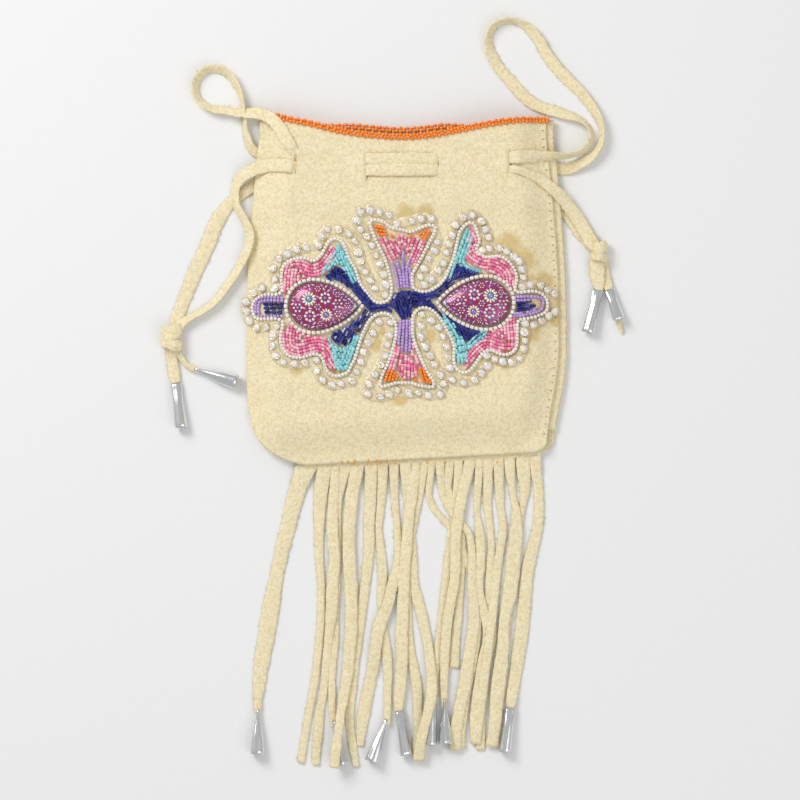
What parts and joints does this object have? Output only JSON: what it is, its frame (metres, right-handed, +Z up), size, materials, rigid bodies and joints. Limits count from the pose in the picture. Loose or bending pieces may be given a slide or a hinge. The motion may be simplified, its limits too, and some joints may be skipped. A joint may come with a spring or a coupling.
{
  "type": "beaded medicine bag",
  "caption": "Flat suede drawstring pouch with a beaded floral front, bead-edged mouth, thong drawstrings and a cut fringe tipped with metal cones.",
  "frame": {"origin": "on the outer face of the back panel, near the middle of the bag, on the surface it lies on", "axes": "+Y towards the mouth, +Z up out of the beaded front, +X to the right as the front is seen"},
  "size_m": [0.2039, 0.326, 0.0151],
  "materials": {
    "suede": "soft napped suede, pale cream",
    "cone_metal": "bright rolled sheet",
    "orange_beads": "opaque glossy seed beads",
    "pearl_beads": "pearl lustre seed beads",
    "navy_beads": "glossy cut bugle beads",
    "turquoise_beads": "silky bugle beads",
    "pink_beads": "silver lined seed beads",
    "lavender_beads": "satin seed beads",
    "rhinestones": "faceted clear stones in pale metal settings",
    "cabochon": "iridescent moulded flowers on magenta"
  },
  "bodies": {
    "root": {"front_panel": "suede", "back_panel": "suede", "side_welt": "suede", "mouth_edging_front": "orange_beads", "mouth_edging_back": "orange_beads", "fringe_cone_1": "cone_metal", "fringe_cone_2": "cone_metal", "fringe_cone_3": "cone_metal", "fringe_cone_4": "cone_metal", "fringe_cone_5": "cone_metal", "fringe_cone_6": "cone_metal", "fringe_cone_7": "cone_metal", "fringe": "suede", "left_drawstring_cone_1": "cone_metal", "left_drawstring_cone_2": "cone_metal", "left_drawstring_knot": "suede", "right_drawstring_cone_1": "cone_metal", "right_drawstring_cone_2": "cone_metal", "right_drawstring_knot": "suede", "left_drawstring": "suede", "right_drawstring": "suede", "cabochon_left": "cabochon", "cabochon_right": "cabochon", "pearl_ring_left": "pearl_beads", "pearl_ring_right": "pearl_beads", "pearl_outline": "pearl_beads", "rhinestone_border": "rhinestones", "navy_stems": "navy_beads", "navy_left_tip": "navy_beads", "navy_right_tip": "navy_beads", "turquoise_upper_left": "turquoise_beads", "turquoise_upper_right": "turquoise_beads", "turquoise_lower_left": "turquoise_beads", "turquoise_lower_right": "turquoise_beads", "lavender_upper_stem": "lavender_beads", "lavender_lower_stem": "lavender_beads", "lavender_left_tip": "lavender_beads", "lavender_right_tip": "lavender_beads", "orange_upper_left": "orange_beads", "orange_upper_right": "orange_beads", "orange_lower_left": "orange_beads", "orange_lower_right": "orange_beads", "pink_upper_leaf": "pink_beads", "pink_lower_leaf": "pink_beads", "pink_upper_left": "pink_beads", "pink_upper_right": "pink_beads", "pink_lower_left": "pink_beads", "pink_lower_right": "pink_beads"}
  },
  "joints": []
}
